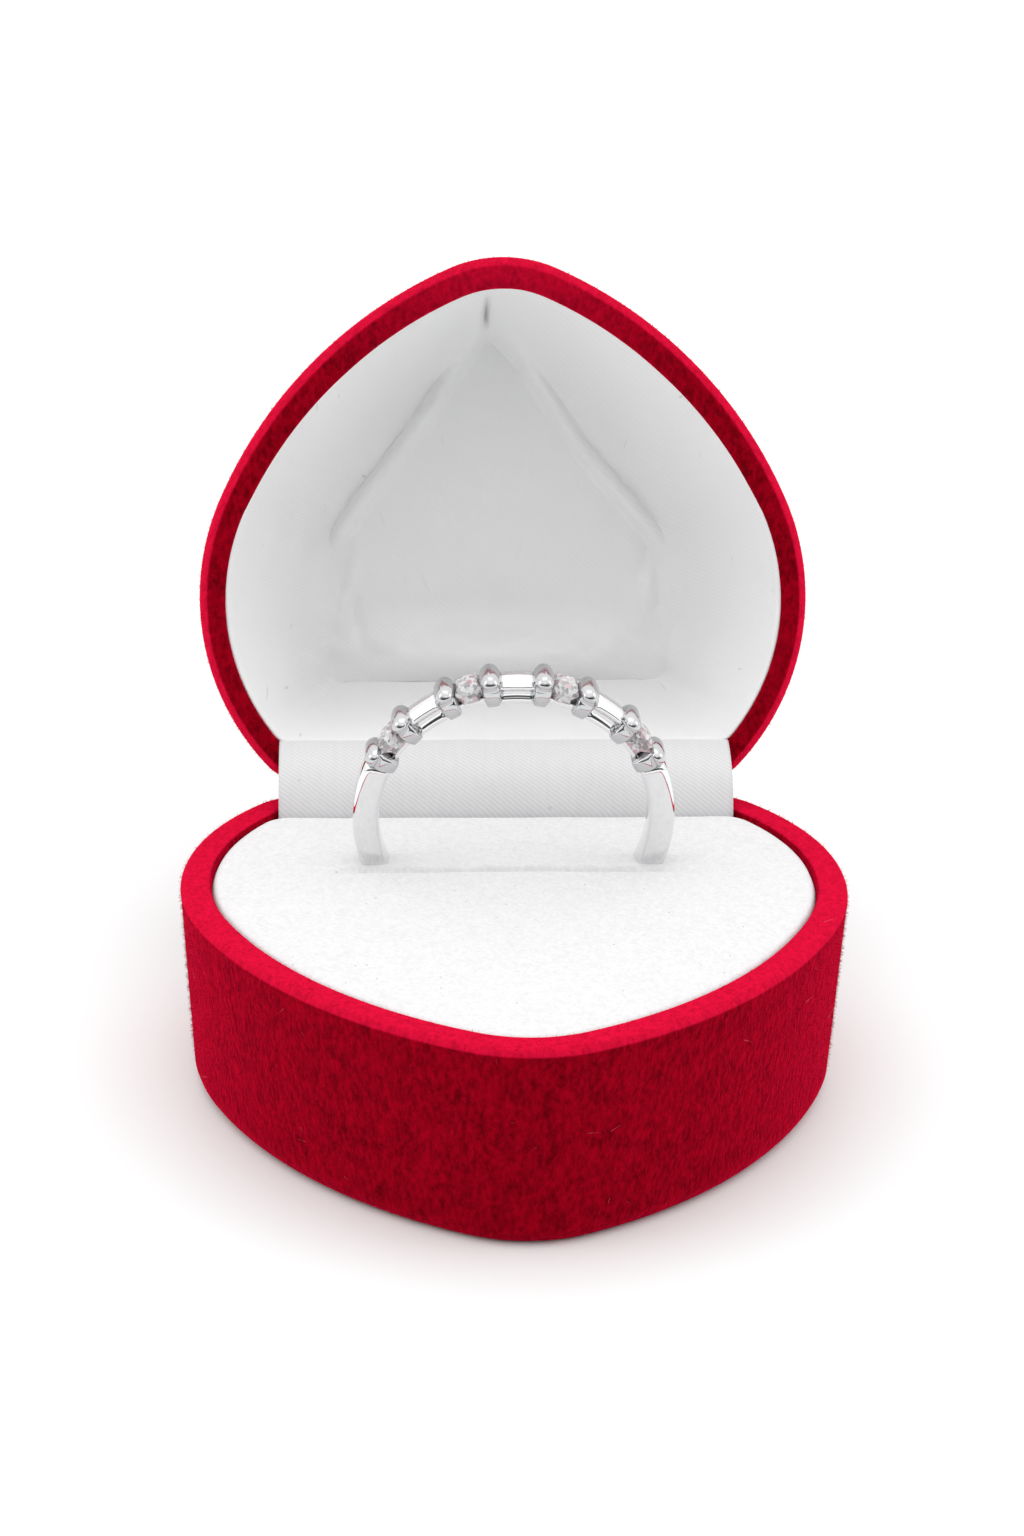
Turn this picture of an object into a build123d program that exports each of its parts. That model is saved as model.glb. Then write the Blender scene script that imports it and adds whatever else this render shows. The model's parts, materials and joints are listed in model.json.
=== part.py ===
from build123d import *
from math import acos, cos, degrees, radians, sin, sqrt, tan
import os

# Heart-shaped flocked ring box, standing open, with a bar-set ring in its slotted pad.
# Millimetres. +Z is up, -Y is the front (the tip of the heart), +X is to the right. The origin
# is on the underside, midway between the tip and the flat back. The lid is drawn shut and then
# swung back about the hinge pin to the place where the box stands open.

# ---------------------------------------------------------------- heart outline, at the base rim
box_width = 45.0
box_length = 38.9
tip_radius = 10.4
tip_sweep = 23.7  # degrees of the tip's arc, each side of the centre line
side_radius = 32.6
side_sweep = 42.9
corner_radius = 4.0  # where the lobes meet the flat back
least_corner = 1.3

# ---------------------------------------------------------------- shells, skins and heights
base_height = 14.2
base_draft = 3.2  # degrees, narrower towards the floor
base_edge_radius = 1.2
base_rim = 2.1
flock = 0.3
base_floor = 1.4
bottom_sheet = 0.4
bottom_sheet_inset = 1.0
rear_wall = 2.1  # the wall that carries the hinge
tuck_depth = 3.2  # how far the flocked skin turns down inside the rim

lid_step = 0.7  # the lid's edge stands this far inside the base's edge
lid_rim = 1.85
lid_height = 19.0
lid_draft = 1.6
lid_crown_radius = 150.0
lid_edge_radius = 2.2
lid_inner_edge_radius = 0.8
shut_gap = 0.15
sheet_gap = 0.03
over = 1.0  # how far a cutting block runs past the surface that it cuts

# ---------------------------------------------------------------- hinge
open_angle = 109.0
pin_setback = 0.1  # of the hinge pin, behind the flat back
pin_radius = 0.6
pin_clearance = 0.05
pin_head_radius = 0.85
pin_head_length = 0.35
knuckle_radius = 1.2
leaf_thickness = 0.5
leaf_half_width = 11.0
lid_knuckle_half = 6.0
knuckle_gap = 0.1
cutout_half_width = 12.5
cutout_depth = 2.6
leaf_plate_height = 4.6
tack_radius = 0.55
tack_head_radius = 1.1
tack_head_height = 0.3
tack_length = 0.75  # the part that is driven into the wall
tack_spacing = 16.0
tack_place = 0.55  # share of the leaf's height
tack_play = 0.05
tack_fit = 0.02
head_round = 0.8  # share of a head's height
cam_flat = 1.0
cam_side_gap = 0.3
spring_thickness = 0.3
spring_half_width = 2.4
spring_gap = 0.05
spring_foot = 0.4
rivet_radius = 0.6
rivet_height = 0.25
rivet_place = 0.35

# ---------------------------------------------------------------- pad, lining and gusset
pad_gap = 0.15
pad_cover = 0.5
pad_top = 13.9
pad_edge_radius = 0.8
pad_back_gap = 1.3  # room behind the pad for the leaf, the tack heads and the gusset
card_thickness = 0.8
slot_length = 26.0
slot_depth = 8.4
slot_width = 0.4

satin = 0.4
lining_depth = 14.8
ceiling_share = 0.74  # size of the lining's flat ceiling against its mouth
ceiling_shift = 1.2  # of the ceiling, towards the hinge
wadding_thickness = 0.5
lid_card_thickness = 0.5
layer_gap = 0.02
layer_share = 0.95  # of the lining's ceiling
gusset_half_width = 15.9
gusset_thickness = 0.25
gusset_gap = 0.1
gusset_tuck = 1.5

# ---------------------------------------------------------------- ring
ring_outer = 10.9
ring_inner = 9.1
ring_width = 2.2
ring_corner = 0.45
rail_outer = 9.6
ring_lean = 7.2  # degrees, forwards
ring_centre_y = 27.0  # from the tip of the heart
ring_centre_z = 17.9
bar_angles = (9.8, 26.9, 46.5, 63.0)  # of the bars, each side of the top
bar_thickness = 1.3
bar_width = 2.9
bar_outer = 11.15
bar_inner = 9.35
bar_round = 0.5
stone_outer = 10.75
stone_width = 2.0
stone_girdle = 0.62  # share of the stone's height
crown_taper = 38.0
pavilion_taper = 24.0
stone_seat_gap = 0.05
link_outer = 10.65
link_round = 0.8  # share of the link's height
setting_gap = 0.02
pocket_clearance = 0.12

# ---------------------------------------------------------------- places worked out from the above
half_length = box_length / 2  # the tip is at -half_length, the back at +half_length
lid_plane = base_height + shut_gap
axis_y = half_length + pin_setback
axis_z = base_height + shut_gap / 2
cavity_back = half_length - rear_wall  # inner face of the rear wall, in the base and in the lid
ledge_z = base_height - cutout_depth
standing = (Align.CENTER, Align.CENTER, Align.MIN)


def on_circle(centre, radius, angle):
    """The point of a circle at an angle in degrees."""
    return (
        centre[0] + radius * cos(radians(angle)),
        centre[1] + radius * sin(radians(angle)),
    )


def heart_face(inset=0.0, back_inset=None):
    """The heart outline, moved inwards by inset all round, as a face on the XY plane."""
    back = half_length - (inset if back_inset is None else back_inset)
    tip_end = -90 + tip_sweep
    side_end = tip_end + side_sweep
    tip_centre = (0.0, tip_radius - half_length)
    side_centre = on_circle(tip_centre, tip_radius - side_radius, tip_end)
    lobe_radius = (
        box_width / 2 - side_centre[0] - side_radius * cos(radians(side_end))
    ) / (1 - cos(radians(side_end)))
    lobe_centre = on_circle(side_centre, side_radius - lobe_radius, side_end)
    # the corner's arc lies inside the lobe's circle and touches the flat back
    corner = max(corner_radius - inset, least_corner)
    lobe = lobe_radius - inset
    rise = back - corner - lobe_centre[1]
    corner_centre = (lobe_centre[0] + sqrt((lobe - corner) ** 2 - rise**2), back - corner)
    lobe_end = degrees(acos((corner_centre[0] - lobe_centre[0]) / (lobe - corner)))

    arcs = (
        (tip_centre, tip_radius - inset, -90, tip_end),
        (side_centre, side_radius - inset, tip_end, side_end),
        (lobe_centre, lobe, side_end, lobe_end),
        (corner_centre, corner, lobe_end, 90),
    )
    edges = []
    for centre, radius, start, end in arcs:
        points = [on_circle(centre, radius, a) for a in (start, (start + end) / 2, end)]
        edges.append(ThreePointArc(*points))
        edges.append(ThreePointArc(*[(-x, y) for x, y in points]))
    corner_x = corner_centre[0]
    edges.append(Line((corner_x, back), (-corner_x, back)))
    return make_face(Wire(edges).edges())


def base_block(inset, low, high, back_inset=None, edge=0.0):
    """A heart-shaped block between two heights that narrows towards the floor with the draft."""
    face = heart_face(inset, back_inset).moved(Location((0, 0, base_height)))
    block = extrude(face, amount=base_height, dir=(0, 0, -1), taper=base_draft)
    block = block & slab(low, high)
    if edge:
        block = fillet(block.edges().group_by(Axis.Z)[0], edge)
    return block


def slab(low, high):
    """A wide flat block between two heights, used to trim."""
    size = 4 * box_width
    return Pos(0, 0, (low + high) / 2) * Box(size, size, high - low)


def lid_block(inset, height, back_inset=None, edge=lid_edge_radius):
    """The lid's crowned outer form, shut, moved inwards by inset and cut down to height."""
    face = heart_face(lid_step + inset, back_inset).moved(Location((0, 0, lid_plane)))
    block = extrude(face, amount=height, taper=lid_draft)
    crown = Pos(0, 0, lid_plane + height - lid_crown_radius) * Sphere(lid_crown_radius)
    block = block & crown
    rim_top = [e for e in block.edges() if e.center().Z > lid_plane + 0.7 * height]
    outline = [e for e in rim_top if abs(e.tangent_at(0.5).Z) < 0.5]
    return fillet(outline, edge)


def swing_open(shape):
    """Turns a piece of the shut lid back about the hinge pin, to its place at rest."""
    return shape.rotate(Axis((0, axis_y, axis_z), (1, 0, 0)), -open_angle)


def bar_x(half_width, low_y, high_y, low_z, high_z):
    """A block centred on X, given by its faces in Y and Z."""
    size = (2 * half_width, high_y - low_y, high_z - low_z)
    return Pos(0, (low_y + high_y) / 2, (low_z + high_z) / 2) * Box(*size)


def rod_x(radius, low_x, high_x, y, z):
    """A cylinder along X."""
    middle = (low_x + high_x) / 2
    return Pos(middle, y, z) * Rot(0, 90, 0) * Cylinder(radius, high_x - low_x)


def write(name, *shapes):
    """Writes one node, made of one or more closed solids."""
    solids = [s for shape in shapes for s in shape.solids()]
    export_step(Compound(children=solids) if len(solids) > 1 else solids[0], f"parts/{name}.step")


def write_row(name, shapes):
    """Writes a row of like pieces of the ring, numbered from -X to +X."""
    for number, shape in enumerate(shapes, start=1):
        write(f"{name}_{number}", ring_place(shape))


# ---------------------------------------------------------------- base


def base_cutout():
    """The slot in the rear wall that the hinge lies in."""
    return bar_x(
        cutout_half_width, cavity_back - over, half_length + over, ledge_z, base_height + over
    )


def leaf_pocket(low, high):
    """A flat seat in the drafted rear wall for a leaf's plate."""
    half = leaf_half_width + pin_clearance
    return bar_x(half, cavity_back - rear_wall, cavity_back, low, high)


def make_base_shell():
    block = base_block(
        flock, bottom_sheet, base_height - flock, edge=base_edge_radius - flock
    )
    floor_top = bottom_sheet + base_floor
    cavity = base_block(base_rim - flock, floor_top, base_height, back_inset=rear_wall - flock)
    pocket = leaf_pocket(ledge_z - leaf_plate_height - pin_clearance, base_height)
    return block - cavity - pocket - base_cutout() - tack_holes(False)


def make_base_skin():
    """The flocked velvet: under the edge, up the wall, over the rim and a short way down inside."""
    outer = base_block(0, 0, base_height, edge=base_edge_radius)
    core = base_block(flock, bottom_sheet, base_height - flock, edge=base_edge_radius - flock)
    opening = base_block(base_rim, bottom_sheet, base_height + over, back_inset=rear_wall)
    tuck = base_block(
        base_rim - flock, base_height - tuck_depth, base_height - flock, back_inset=rear_wall - flock
    )
    skin = (outer - core - opening) + (tuck - opening)
    return skin - bottom_recess() - rear_band(base_height, ledge_z)


def bottom_recess(gap=0.0):
    """The shallow place under the floor that the bottom sheet is glued into."""
    floor_inset = base_height * tan(radians(base_draft)) + bottom_sheet_inset
    return extrude(heart_face(floor_inset + gap), amount=bottom_sheet)


def rear_band(high, low):
    """Where the skin stops short at the back, so that the hinge and the gusset are clear."""
    front = cavity_back - over
    inside = bar_x(gusset_half_width + over, front, cavity_back, low - tuck_depth, high + over)
    return inside + bar_x(cutout_half_width, front, half_length + over, low, high + over)


def make_bottom_sheet():
    return bottom_recess(sheet_gap)


def tack_places():
    return (-tack_spacing / 2, tack_spacing / 2)


def tack_height(for_lid):
    """Height of the tacks' axes, with the lid shut."""
    drop = cutout_depth + leaf_plate_height * tack_place
    return lid_plane + drop if for_lid else base_height - drop


def tack_holes(for_lid):
    holes = Part()
    for x in tack_places():
        depth = tack_length + tack_play + over
        hole = Cylinder(tack_radius, depth, align=standing)
        holes += Pos(x, cavity_back - over, tack_height(for_lid)) * Rot(-90, 0, 0) * hole
    return holes


def make_tacks(for_lid):
    """Barbed tacks, driven through a hinge leaf into the rear wall from inside."""
    tacks = []
    for x in tack_places():
        shank = Cylinder(tack_radius - tack_fit, tack_length + leaf_thickness, align=standing)
        head = Cylinder(tack_head_radius, tack_head_height, align=standing)
        head = Pos(0, 0, -tack_head_height) * head
        head = fillet(head.edges().group_by(Axis.Z)[0], tack_head_height * head_round)
        place = Pos(x, cavity_back - leaf_thickness, tack_height(for_lid)) * Rot(-90, 0, 0)
        tacks.append(place * (shank + head))
    return tacks


# ---------------------------------------------------------------- hinge


def make_lower_leaf():
    """Stamped leaf: a plate inside the wall, a foot over the ledge, and two curled knuckles."""
    plate_front = cavity_back - leaf_thickness
    foot_back = axis_y - knuckle_radius + leaf_thickness
    plate_low = ledge_z - leaf_plate_height
    plate = bar_x(leaf_half_width, plate_front, cavity_back, plate_low, ledge_z)
    foot = bar_x(leaf_half_width, plate_front, foot_back, ledge_z, ledge_z + leaf_thickness)
    leaf = plate + foot
    low_x = lid_knuckle_half + knuckle_gap
    web_width = leaf_half_width - low_x
    for side in (-1, 1):
        middle = side * (low_x + web_width / 2)
        web = Pos(middle, 0, 0) * bar_x(
            web_width / 2, foot_back - leaf_thickness, foot_back, ledge_z, axis_z
        )
        barrel = rod_x(
            knuckle_radius, middle - web_width / 2, middle + web_width / 2, axis_y, axis_z
        )
        leaf += web + barrel
    leaf -= rod_x(pin_radius + pin_clearance, -box_width, box_width, axis_y, axis_z)
    return leaf - tack_holes(False)


def make_upper_leaf():
    """The lid's leaf, shut: one wide knuckle whose middle is a two-flat cam."""
    plate_front = cavity_back - leaf_thickness
    foot_back = axis_y - knuckle_radius + leaf_thickness
    ceiling = lid_plane + cutout_depth
    plate = bar_x(leaf_half_width, plate_front, cavity_back, ceiling, ceiling + leaf_plate_height)
    foot = bar_x(leaf_half_width, plate_front, foot_back, ceiling - leaf_thickness, ceiling)
    web = bar_x(lid_knuckle_half, foot_back - leaf_thickness, foot_back, axis_z, ceiling)
    barrel = rod_x(knuckle_radius, -lid_knuckle_half, lid_knuckle_half, axis_y, axis_z)
    # the cam's flat faces the front when the box stands open
    flat = bar_x(
        spring_half_width + cam_side_gap,
        axis_y - knuckle_radius - over,
        axis_y - cam_flat,
        axis_z - knuckle_radius - over,
        axis_z + knuckle_radius + over,
    )
    flat_shut = flat.rotate(Axis((0, axis_y, axis_z), (1, 0, 0)), open_angle)
    leaf = plate + foot + web + (barrel - flat_shut)
    leaf -= rod_x(pin_radius + pin_clearance, -box_width, box_width, axis_y, axis_z)
    return leaf - tack_holes(True)


def make_hinge_pin():
    reach = leaf_half_width + knuckle_gap
    pin = rod_x(pin_radius, -reach, reach, axis_y, axis_z)
    pin += rod_x(pin_head_radius, reach, reach + pin_head_length, axis_y, axis_z)
    pin += rod_x(pin_head_radius, -reach - pin_head_length, -reach, axis_y, axis_z)
    return pin


def make_snap_spring():
    """A flat spring, riveted to the lower leaf, whose free end bears on the cam."""
    back = axis_y - cam_flat - spring_gap
    low = ledge_z + leaf_thickness
    foot = bar_x(
        spring_half_width, cavity_back - spring_foot, back, low, low + spring_thickness
    )
    blade = bar_x(
        spring_half_width, back - spring_thickness, back, low, axis_z + pin_radius
    )
    return foot + blade


def make_spring_rivet():
    head = Cylinder(rivet_radius, rivet_height, align=standing)
    head = fillet(head.edges().group_by(Axis.Z)[-1], rivet_height * head_round)
    low = ledge_z + leaf_thickness + spring_thickness + layer_gap
    return Pos(0, cavity_back + rivet_place, low) * head


# ---------------------------------------------------------------- pad


def ring_place(shape):
    """Puts a shape drawn about the ring's own centre, upright, into the slot with its lean."""
    turned = Rot(ring_lean, 0, 0) * shape
    return Pos(0, ring_centre_y - half_length, ring_centre_z) * turned


def ring_pocket():
    """The space that the band pushes open in the slot."""
    band = Rot(90, 0, 0) * Cylinder(ring_outer + pocket_clearance, ring_width + 2 * pocket_clearance)
    bore = Rot(90, 0, 0) * Cylinder(ring_inner - pocket_clearance, ring_width + over)
    return ring_place(band - bore)


def pad_slot():
    """The slit across the pad, from just over its top down past the band."""
    top = pad_top - ring_centre_z + over
    slit = Box(slot_length, slot_width, slot_depth + over)
    return ring_place(Pos(0, 0, top - (slot_depth + over) / 2) * slit) + ring_pocket()


def pad_block(inset, low, high):
    edge = base_rim + pad_gap + inset
    return base_block(edge, low, high, back_inset=rear_wall + pad_back_gap + inset)


def make_pad_card():
    low = bottom_sheet + base_floor
    return pad_block(0, low, low + card_thickness)


def make_foam_core():
    low = bottom_sheet + base_floor + card_thickness
    return pad_block(pad_cover, low, pad_top - pad_cover) - pad_slot()


def make_pad_cover():
    """White velveteen, over the foam and down its sides."""
    low = bottom_sheet + base_floor + card_thickness
    outer = pad_block(0, low, pad_top)
    outer = fillet(outer.edges().group_by(Axis.Z)[-1], pad_edge_radius)
    return outer - pad_block(pad_cover, low - over, pad_top - pad_cover) - pad_slot()


# ---------------------------------------------------------------- lid, drawn shut


def lid_cutout():
    return bar_x(
        cutout_half_width,
        cavity_back - over,
        half_length + over,
        lid_plane - over,
        lid_plane + cutout_depth,
    )


def make_lid_shell():
    block = lid_block(flock, lid_height - flock) & slab(lid_plane + flock, 2 * box_width)
    wall = lid_rim - flock
    cavity = lid_block(wall, lid_height - wall, back_inset=rear_wall, edge=lid_inner_edge_radius)
    pocket = leaf_pocket(lid_plane, ledge_top() + leaf_plate_height + pin_clearance)
    return block - cavity - pocket - lid_cutout() - tack_holes(True)


def make_lid_skin():
    core = lid_block(flock, lid_height - flock) & slab(lid_plane + flock, 2 * box_width)
    rim_hole = heart_face(lid_step + lid_rim, rear_wall).moved(Location((0, 0, lid_plane)))
    skin = lid_block(0, lid_height) - core - extrude(rim_hole, amount=flock)
    return skin - lid_cutout()


def ledge_top():
    return lid_plane + cutout_depth


def lining_block(grow, low, depth):
    """The tapered space inside the satin: the mouth at the rim, a smaller flat ceiling inside."""
    mouth = heart_face(lid_step + lid_rim - grow, rear_wall + pad_back_gap - grow)
    ceiling = mouth.scale(ceiling_share)
    wires = [
        mouth.moved(Location((0, 0, lid_plane + low))).wires()[0],
        ceiling.moved(Location((0, ceiling_shift, lid_plane + depth))).wires()[0],
    ]
    return Solid.make_loft(wires, ruled=True)


def make_satin_lining():
    outer = lining_block(0, flock, lining_depth + satin)
    inner = lining_block(-satin, flock - layer_gap, lining_depth)
    return outer - inner


def ceiling_layer(low, thickness):
    """A flat layer that lies above the lining's ceiling."""
    share = layer_share * ceiling_share
    face = heart_face(lid_step + lid_rim, rear_wall + pad_back_gap).scale(share)
    return extrude(face.moved(Location((0, ceiling_shift, low))), amount=thickness)


def make_lid_wadding():
    low = lid_plane + lining_depth + satin + layer_gap
    return ceiling_layer(low, wadding_thickness)


def make_lid_card():
    low = lid_plane + lining_depth + satin + wadding_thickness + 2 * layer_gap
    return ceiling_layer(low, lid_card_thickness)


# ---------------------------------------------------------------- gusset across the hinge, open


def make_gusset():
    """The satin strip from behind the pad to the lid's lining, as it lies with the box open."""
    front = cavity_back - leaf_thickness - tack_head_height - gusset_gap - gusset_thickness
    hem = (front, ledge_z - gusset_tuck)
    turn = (front, pad_top - gusset_gap)
    angle = radians(open_angle)
    mouth_y = cavity_back - pad_back_gap - axis_y  # the lining's back edge, from the pin, shut
    mouth = (
        axis_y + mouth_y * cos(angle) + gusset_gap * sin(angle) - gusset_thickness,
        axis_z - mouth_y * sin(angle) + gusset_gap * cos(angle),
    )
    back = [(y + gusset_thickness, z) for y, z in (mouth, turn, hem)]
    strip = Plane.YZ * make_face(Polyline(hem, turn, mouth, *back, hem).edges())
    return extrude(strip, amount=gusset_half_width, both=True)


# ---------------------------------------------------------------- ring, drawn about its own centre


def ring_tube(outer, inner, width):
    """A band about the Y axis."""
    return Rot(90, 0, 0) * (Cylinder(outer, width) - Cylinder(inner, width + over))


def sector(low_angle, high_angle):
    """A wedge of the ring between two angles, measured from the top towards +X."""
    reach = 2 * ring_outer
    angles = (low_angle, (low_angle + high_angle) / 2, high_angle)
    points = [(reach * sin(radians(a)), reach * cos(radians(a))) for a in angles]
    face = make_face(Polyline((0, 0), *points, (0, 0)).edges())
    return extrude(Plane.XZ * face, amount=ring_width, both=True)


def make_shank():
    """The plain band, with only a thin rail left under the head."""
    section = RectangleRounded(ring_outer - ring_inner, ring_width, ring_corner)
    band = revolve(Pos((ring_outer + ring_inner) / 2, 0) * section, Axis.Y, 360)
    head = bar_angles[-1] + half_bar_angle()
    top = ring_tube(ring_outer + over, rail_outer, ring_width + over) & sector_pair(head)
    return band - top


def half_bar_angle():
    return degrees(bar_thickness / 2 / ring_outer)


def sector_pair(angle):
    return sector(-angle, 0) + sector(0, angle)


def make_bars():
    bars = []
    for angle in [-a for a in reversed(bar_angles)] + list(bar_angles):
        height = bar_outer - bar_inner
        bar = Box(bar_thickness, bar_width, height)
        bar = fillet(bar.edges().group_by(Axis.Z)[-1], bar_round)
        bar = Pos(0, 0, bar_inner + height / 2) * bar
        bars.append(Rot(0, angle, 0) * bar)
    return bars


def gaps():
    """The seven spaces between the bars, from -X to +X, as pairs of angles."""
    angles = [-a for a in reversed(bar_angles)] + list(bar_angles)
    return list(zip(angles[:-1], angles[1:]))


def chord_block(low_angle, high_angle, width, inner, outer, shape):
    """A block that fills one space between two bars."""
    middle = (low_angle + high_angle) / 2
    half = radians(high_angle - low_angle) / 2
    length = 2 * inner * sin(half) - bar_thickness / cos(half) - 2 * setting_gap
    return Rot(0, middle, 0) * shape(length, width, inner, outer)


def stone_shape(length, width, inner, outer):
    """A square-cut stone: a stepped crown over a tapered pavilion."""
    girdle = inner + stone_girdle * (outer - inner)
    face = Pos(0, 0, girdle) * Rectangle(length, width)
    crown = extrude(face, amount=outer - girdle, taper=crown_taper)
    pavilion = extrude(face, amount=girdle - inner, dir=(0, 0, -1), taper=pavilion_taper)
    return crown + pavilion


def link_shape(length, width, inner, outer):
    """A polished half-round link between two bars."""
    height = outer - inner
    block = Pos(0, 0, inner + height / 2) * Box(length, width, height)
    return fillet(block.edges().filter_by(Axis.X).group_by(Axis.Z)[-1], link_round * height)


def make_stones():
    low = rail_outer + stone_seat_gap
    return [
        chord_block(a, b, stone_width, low, stone_outer, stone_shape)
        for a, b in gaps()[0::2]
    ]


def make_links():
    low = rail_outer + setting_gap
    return [
        chord_block(a, b, ring_width, low, link_outer, link_shape)
        for a, b in gaps()[1::2]
    ]


# ---------------------------------------------------------------- write every node

os.makedirs("parts", exist_ok=True)

write("base_shell", make_base_shell())
write("base_velvet_skin", make_base_skin())
write("bottom_sheet", make_bottom_sheet())
write("pad_card", make_pad_card())
write("foam_core", make_foam_core())
write("pad_velvet_cover", make_pad_cover())
write("lower_hinge_leaf", make_lower_leaf())
write("lower_leaf_tacks", *make_tacks(False))
write("hinge_pin", make_hinge_pin())
write("snap_spring", make_snap_spring())
write("snap_spring_rivet", make_spring_rivet())
write("satin_gusset", make_gusset())

write("lid_shell", swing_open(make_lid_shell()))
write("lid_velvet_skin", swing_open(make_lid_skin()))
write("upper_hinge_leaf", swing_open(make_upper_leaf()))
write("upper_leaf_tacks", *[swing_open(t) for t in make_tacks(True)])
write("satin_lining", swing_open(make_satin_lining()))
write("lid_wadding", swing_open(make_lid_wadding()))
write("lid_lining_card", swing_open(make_lid_card()))

bars = make_bars()
shank = make_shank()
for bar in bars:
    shank -= bar
write("ring_shank", ring_place(shank))
write_row("ring_bar", bars)
write_row("ring_stone", make_stones())
write_row("ring_link", make_links())
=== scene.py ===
import json
import math
import bmesh
import bpy
import numpy as np
from mathutils import Matrix, Vector, noise


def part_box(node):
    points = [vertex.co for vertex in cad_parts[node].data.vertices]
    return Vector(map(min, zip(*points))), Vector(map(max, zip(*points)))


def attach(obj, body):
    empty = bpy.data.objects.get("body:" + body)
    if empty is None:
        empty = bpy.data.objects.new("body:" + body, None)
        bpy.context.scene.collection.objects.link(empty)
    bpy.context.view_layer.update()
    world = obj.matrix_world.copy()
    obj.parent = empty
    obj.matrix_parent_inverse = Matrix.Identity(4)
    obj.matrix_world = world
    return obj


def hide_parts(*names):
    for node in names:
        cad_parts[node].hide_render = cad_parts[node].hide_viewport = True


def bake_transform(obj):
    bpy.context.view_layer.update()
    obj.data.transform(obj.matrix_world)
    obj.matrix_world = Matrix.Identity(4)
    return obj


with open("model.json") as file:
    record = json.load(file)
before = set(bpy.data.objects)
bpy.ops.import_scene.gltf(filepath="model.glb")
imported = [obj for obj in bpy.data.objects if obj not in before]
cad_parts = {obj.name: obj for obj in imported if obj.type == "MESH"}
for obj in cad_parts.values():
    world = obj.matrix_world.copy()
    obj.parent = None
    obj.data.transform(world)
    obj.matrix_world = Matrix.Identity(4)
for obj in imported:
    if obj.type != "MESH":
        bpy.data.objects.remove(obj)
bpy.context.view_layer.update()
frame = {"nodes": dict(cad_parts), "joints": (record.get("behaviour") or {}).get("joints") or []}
mm = 0.001

# the heart's outline at the base's rim, the same arcs as the CAD's
heart = dict(width=45 * mm, length=38.9 * mm, tipRadius=10.4 * mm, tipSweep=23.7,
             sideRadius=32.6 * mm, sideSweep=42.9, corner=4.0 * mm, leastCorner=1.3 * mm,
             samples=(12, 26, 40, 10, 16))
hinge = frame["joints"][0]
axisY, axisZ = hinge["pos_m"][1], hinge["pos_m"][2]
openAngle = math.radians(hinge["range_deg"][1])
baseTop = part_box("base_velvet_skin")[1].z
lidPlane = 2 * axisZ - baseTop  # the lid's rim when shut, as far above the pin as the base's is below
rearWall = 2.1 * mm
padBackGap = 1.3 * mm


class Tree:  # a short way to lay nodes into a tree
    def __init__(self, tree):
        self.tree = tree

    def node(self, kind, values=None, **settings):
        made = self.tree.nodes.new(kind)
        for key, value in settings.items():
            setattr(made, key, value)
        for key, value in (values or {}).items():
            if isinstance(value, bpy.types.NodeSocket):
                self.tree.links.new(value, made.inputs[key])
            else:
                made.inputs[key].default_value = value
        return made

    def math(self, operation, first, second=0.0, third=0.0):
        return self.node("ShaderNodeMath", {0: first, 1: second, 2: third}, operation=operation).outputs[0]

    def noise(self, vector, scale, detail=2.0, rough=0.5):
        values = {"Vector": vector, "Scale": scale, "Detail": detail, "Roughness": rough}
        return self.node("ShaderNodeTexNoise", values).outputs["Fac"]

    def ramp(self, value, low, high):
        values = {"Value": value, "From Min": low, "From Max": high}
        return self.node("ShaderNodeMapRange", values).outputs[0]

    def mix(self, share, first, second):
        values = {0: share, 6: first, 7: second}
        return self.node("ShaderNodeMix", values, data_type="RGBA").outputs[2]


def addObject(name, data):
    made = bpy.data.objects.new(name, data)
    bpy.context.scene.collection.objects.link(made)
    return made


cameraPlace = dict(at=(-0.01115, -0.18705, 0.10403), pitch=21.27, yaw=1.60, roll=0.0076,
                   lens=73.6, sensor=36.0, shiftX=0.0533, shiftY=-0.0630, nearest=0.005)


def makeCamera():
    p, w, r = math.radians(cameraPlace["pitch"]), math.radians(cameraPlace["yaw"]), cameraPlace["roll"]
    ahead = Vector((math.sin(w) * math.cos(p), math.cos(w) * math.cos(p), -math.sin(p)))
    level = Vector((math.cos(w), -math.sin(w), 0))
    over = level.cross(ahead)
    right = level * math.cos(r) + over * math.sin(r)
    up = over * math.cos(r) - level * math.sin(r)
    data = bpy.data.cameras.new("camera")
    data.lens, data.sensor_width = cameraPlace["lens"], cameraPlace["sensor"]
    data.shift_x, data.shift_y = cameraPlace["shiftX"], cameraPlace["shiftY"]
    data.clip_start = cameraPlace["nearest"]
    camera = addObject("camera", data)
    turn = Matrix((right, up, -ahead)).transposed().to_4x4()
    camera.matrix_world = Matrix.Translation(cameraPlace["at"]) @ turn
    bpy.context.scene.camera = camera


lamps = dict(
    overhead=dict(at=(0.0, 0.05, 0.55), aim=(0, 0, 0), size=(0.50, 0.40), power=0.30),
    leftBox=dict(at=(-0.42, -0.06, 0.24), aim=(0, 0, 0.015), size=(0.22, 0.30), power=0.20),
    rightBox=dict(at=(0.42, -0.04, 0.24), aim=(0, 0, 0.015), size=(0.22, 0.30), power=0.18),
    frontSpot=dict(at=(0.03, -0.46, 0.42), aim=(0, 0, 0.02), size=(0.09, 0.06), power=0.035),
)
# a bright tent with a dim opening in front
room = dict(strength=1.03, roof=1.22, walls=0.98, dim=0.06,
            roofFade=(-0.05, 0.75), aheadFade=(0.15, 0.75), lowFade=(-0.62, -0.30))


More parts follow.
